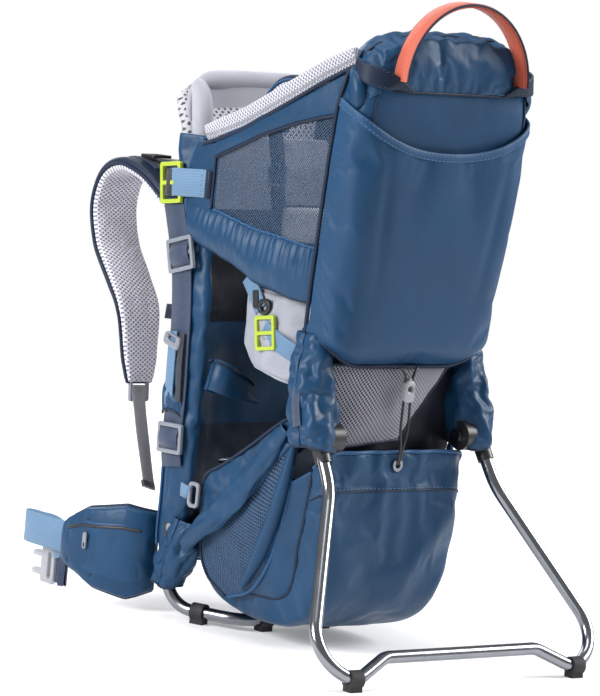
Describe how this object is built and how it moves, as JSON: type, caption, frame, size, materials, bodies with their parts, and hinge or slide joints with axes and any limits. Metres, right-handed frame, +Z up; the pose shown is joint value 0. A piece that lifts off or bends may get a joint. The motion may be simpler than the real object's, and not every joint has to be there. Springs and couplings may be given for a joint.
{
  "type": "baby carrier backpack",
  "caption": "Framed child carrier worn on the back, with folding stand, child seat and harness, chin pad, grab handle, lower bag, padded shoulder straps and hip belt.",
  "frame": {"origin": "on the floor, in the middle of the bounding box, between the wearer's two sides", "axes": "+Z up, +Y the way the wearer faces, +X towards the wearer's right"},
  "size_m": [0.4006, 0.61, 0.7198],
  "materials": {
    "alu_tube": "polished tube",
    "black_plastic": "moulded",
    "black_rubber": "matt",
    "blue_nylon": "satin woven nylon",
    "navy_nylon": "woven nylon",
    "light_webbing": "woven webbing",
    "navy_webbing": "woven webbing",
    "air_mesh": "spacer mesh",
    "velour": "velour",
    "seat_fabric": "soft lining",
    "net": "checked net",
    "grey_plastic": "moulded",
    "lime_plastic": "moulded",
    "orange_webbing": "woven webbing",
    "orange_plastic": "moulded"
  },
  "bodies": {
    "pack": {"main_frame": "alu_tube", "rear_frame": "alu_tube", "cross_stays": "alu_tube", "frame_brackets": "black_plastic", "frame_bolts": "alu_tube", "base_feet": "black_rubber", "hub_housings": "black_plastic", "pivot_bolts": "alu_tube", "upright_sleeves": "navy_nylon", "back_pad": "navy_nylon", "chin_pad": "velour", "lumbar_pad": "navy_nylon", "rear_panel": "blue_nylon", "hood": "blue_nylon", "cockpit_sides": "blue_nylon", "cockpit_rims": "air_mesh", "seat_back": "seat_fabric", "lower_bag": "blue_nylon", "stash_mesh": "net", "side_pockets": "blue_nylon", "side_webbing": "navy_webbing", "side_triglides": "grey_plastic", "cockpit_buckles": "lime_plastic", "cockpit_webbing": "light_webbing", "harness_pads": "navy_nylon", "harness_webbing": "navy_webbing", "drawcord": "navy_webbing", "cord_eyelet": "alu_tube"},
    "stand": {"stand_tube": "alu_tube", "stand_knuckles": "black_plastic", "stand_feet": "black_rubber"},
    "seat": {"seat_cushion": "seat_fabric", "seat_wings": "seat_fabric", "seat_buckles": "lime_plastic"},
    "crotch": {"crotch_strap": "navy_webbing", "harness_buckle": "black_plastic"},
    "release_button": {"harness_button": "orange_plastic"},
    "left_stirrup": {"stirrup_left": "blue_nylon"},
    "right_stirrup": {"stirrup_right": "blue_nylon"},
    "torso_yoke": {"yoke": "navy_nylon"},
    "left_shoulder": {"shoulder_pad_left": "navy_nylon"},
    "right_shoulder": {"shoulder_pad_right": "navy_nylon"},
    "left_lifter": {"load_lifter_left": "navy_webbing"},
    "right_lifter": {"load_lifter_right": "navy_webbing"},
    "left_tail": {"strap_tail_left": "navy_webbing"},
    "right_tail": {"strap_tail_right": "navy_webbing"},
    "left_sternum": {"sternum_left": "navy_webbing"},
    "right_sternum": {"sternum_right": "navy_webbing"},
    "left_fin": {"hip_fin_left": "blue_nylon"},
    "right_fin": {"hip_fin_right": "blue_nylon"},
    "left_belt": {"hip_web_left": "light_webbing"},
    "right_belt": {"hip_web_right": "light_webbing"},
    "belt_plug": {"buckle_male": "grey_plastic"},
    "belt_socket": {"buckle_female": "grey_plastic"},
    "left_zip": {"zip_pull_left": "black_plastic"},
    "right_zip": {"zip_pull_right": "black_plastic"},
    "handle": {"grab_handle": "orange_webbing"},
    "cord_stop": {"cord_lock": "grey_plastic"},
    "left_gear_loop": {"gear_loop_left": "grey_plastic"},
    "right_gear_loop": {"gear_loop_right": "grey_plastic"}
  },
  "joints": [
    {"name": "kickstand_fold", "type": "hinge", "parent": "pack", "child": "stand", "pos_m": [0, -0.152, 0.243], "axis": [1, 0, 0], "range_deg": [0, 50]},
    {"name": "seat_height", "type": "slide", "parent": "pack", "child": "seat", "axis": [0, 0, 1], "range_m": [-0.02, 0.03]},
    {"name": "crotch_swing", "type": "hinge", "parent": "seat", "child": "crotch", "pos_m": [0, 0.041, 0.314], "axis": [1, 0, 0], "range_deg": [-4, 60]},
    {"name": "button_press", "type": "slide", "parent": "crotch", "child": "release_button", "axis": [0, -1, 0], "range_m": [0, 0.002]},
    {"name": "stirrup_height_left", "type": "slide", "parent": "pack", "child": "left_stirrup", "axis": [0, 0, 1], "range_m": [-0.04, 0.04]},
    {"name": "stirrup_height_right", "type": "slide", "parent": "pack", "child": "right_stirrup", "axis": [0, 0, 1], "range_m": [-0.04, 0.04]},
    {"name": "torso_length", "type": "slide", "parent": "pack", "child": "torso_yoke", "axis": [0, 0.23, 0.9732], "range_m": [-0.01, 0.04]},
    {"name": "shoulder_swing_left", "type": "hinge", "parent": "torso_yoke", "child": "left_shoulder", "pos_m": [-0.087, 0.149, 0.453], "axis": [1, 0, 0], "range_deg": [-3, 25]},
    {"name": "shoulder_swing_right", "type": "hinge", "parent": "torso_yoke", "child": "right_shoulder", "pos_m": [0.087, 0.149, 0.453], "axis": [1, 0, 0], "range_deg": [-3, 25]},
    {"name": "lifter_swing_left", "type": "hinge", "parent": "torso_yoke", "child": "left_lifter", "pos_m": [-0.087, 0.143, 0.5], "axis": [1, 0, 0], "range_deg": [-6, 36]},
    {"name": "lifter_swing_right", "type": "hinge", "parent": "torso_yoke", "child": "right_lifter", "pos_m": [0.087, 0.143, 0.5], "axis": [1, 0, 0], "range_deg": [-6, 36]},
    {"name": "tail_swing_left", "type": "hinge", "parent": "left_shoulder", "child": "left_tail", "pos_m": [-0.092, 0.191, 0.238], "axis": [1, 0, 0], "range_deg": [-3, 20]},
    {"name": "tail_swing_right", "type": "hinge", "parent": "right_shoulder", "child": "right_tail", "pos_m": [0.092, 0.191, 0.238], "axis": [1, 0, 0], "range_deg": [-3, 20]},
    {"name": "sternum_height_left", "type": "slide", "parent": "left_shoulder", "child": "left_sternum", "axis": [0, 0.567, 0.8237], "range_m": [-0.02, 0.02]},
    {"name": "sternum_height_right", "type": "slide", "parent": "right_shoulder", "child": "right_sternum", "axis": [0, 0.567, 0.8237], "range_m": [-0.02, 0.02]},
    {"name": "fin_wrap_left", "type": "hinge", "parent": "pack", "child": "left_fin", "pos_m": [-0.104, 0.112, 0.07], "axis": [0, 0, -1], "range_deg": [-10, 25]},
    {"name": "fin_wrap_right", "type": "hinge", "parent": "pack", "child": "right_fin", "pos_m": [0.104, 0.112, 0.07], "axis": [0, 0, 1], "range_deg": [-10, 25]},
    {"name": "belt_fold_left", "type": "hinge", "parent": "left_fin", "child": "left_belt", "pos_m": [-0.158, 0.218, 0.066], "axis": [0, 0, -1], "range_deg": [-12, 15]},
    {"name": "belt_fold_right", "type": "hinge", "parent": "right_fin", "child": "right_belt", "pos_m": [0.158, 0.218, 0.066], "axis": [0, 0, 1], "range_deg": [-12, 15]},
    {"name": "buckle_turn_left", "type": "hinge", "parent": "left_belt", "child": "belt_plug", "pos_m": [-0.136, 0.257, 0.024], "axis": [0, 0, -1], "range_deg": [-10, 20]},
    {"name": "buckle_turn_right", "type": "hinge", "parent": "right_belt", "child": "belt_socket", "pos_m": [0.136, 0.257, 0.024], "axis": [0, 0, 1], "range_deg": [-10, 20]},
    {"name": "zip_run_left", "type": "slide", "parent": "left_fin", "child": "left_zip", "axis": [-0.2676, 0.9635, 0], "range_m": [-0.008, 0.03]},
    {"name": "zip_run_right", "type": "slide", "parent": "right_fin", "child": "right_zip", "axis": [0.2676, 0.9635, 0], "range_m": [-0.008, 0.03]},
    {"name": "handle_flip", "type": "hinge", "parent": "pack", "child": "handle", "pos_m": [0, -0.186, 0.632], "axis": [1, 0, 0], "range_deg": [0, 95]},
    {"name": "cord_lock_run", "type": "slide", "parent": "pack", "child": "cord_stop", "axis": [0, 0, 1], "range_m": [-0.045, 0.01]},
    {"name": "gear_loop_swing_left", "type": "hinge", "parent": "pack", "child": "left_gear_loop", "pos_m": [-0.124, 0.038, 0.16], "axis": [1, 0, 0], "range_deg": [-25, 10]},
    {"name": "gear_loop_swing_right", "type": "hinge", "parent": "pack", "child": "right_gear_loop", "pos_m": [0.124, 0.038, 0.16], "axis": [1, 0, 0], "range_deg": [-25, 10]}
  ],
  "couplings": [
    {"joint": "lifter_swing_left", "follows": "shoulder_swing_left", "ratio": 1.3},
    {"joint": "lifter_swing_right", "follows": "shoulder_swing_right", "ratio": 1.3}
  ]
}
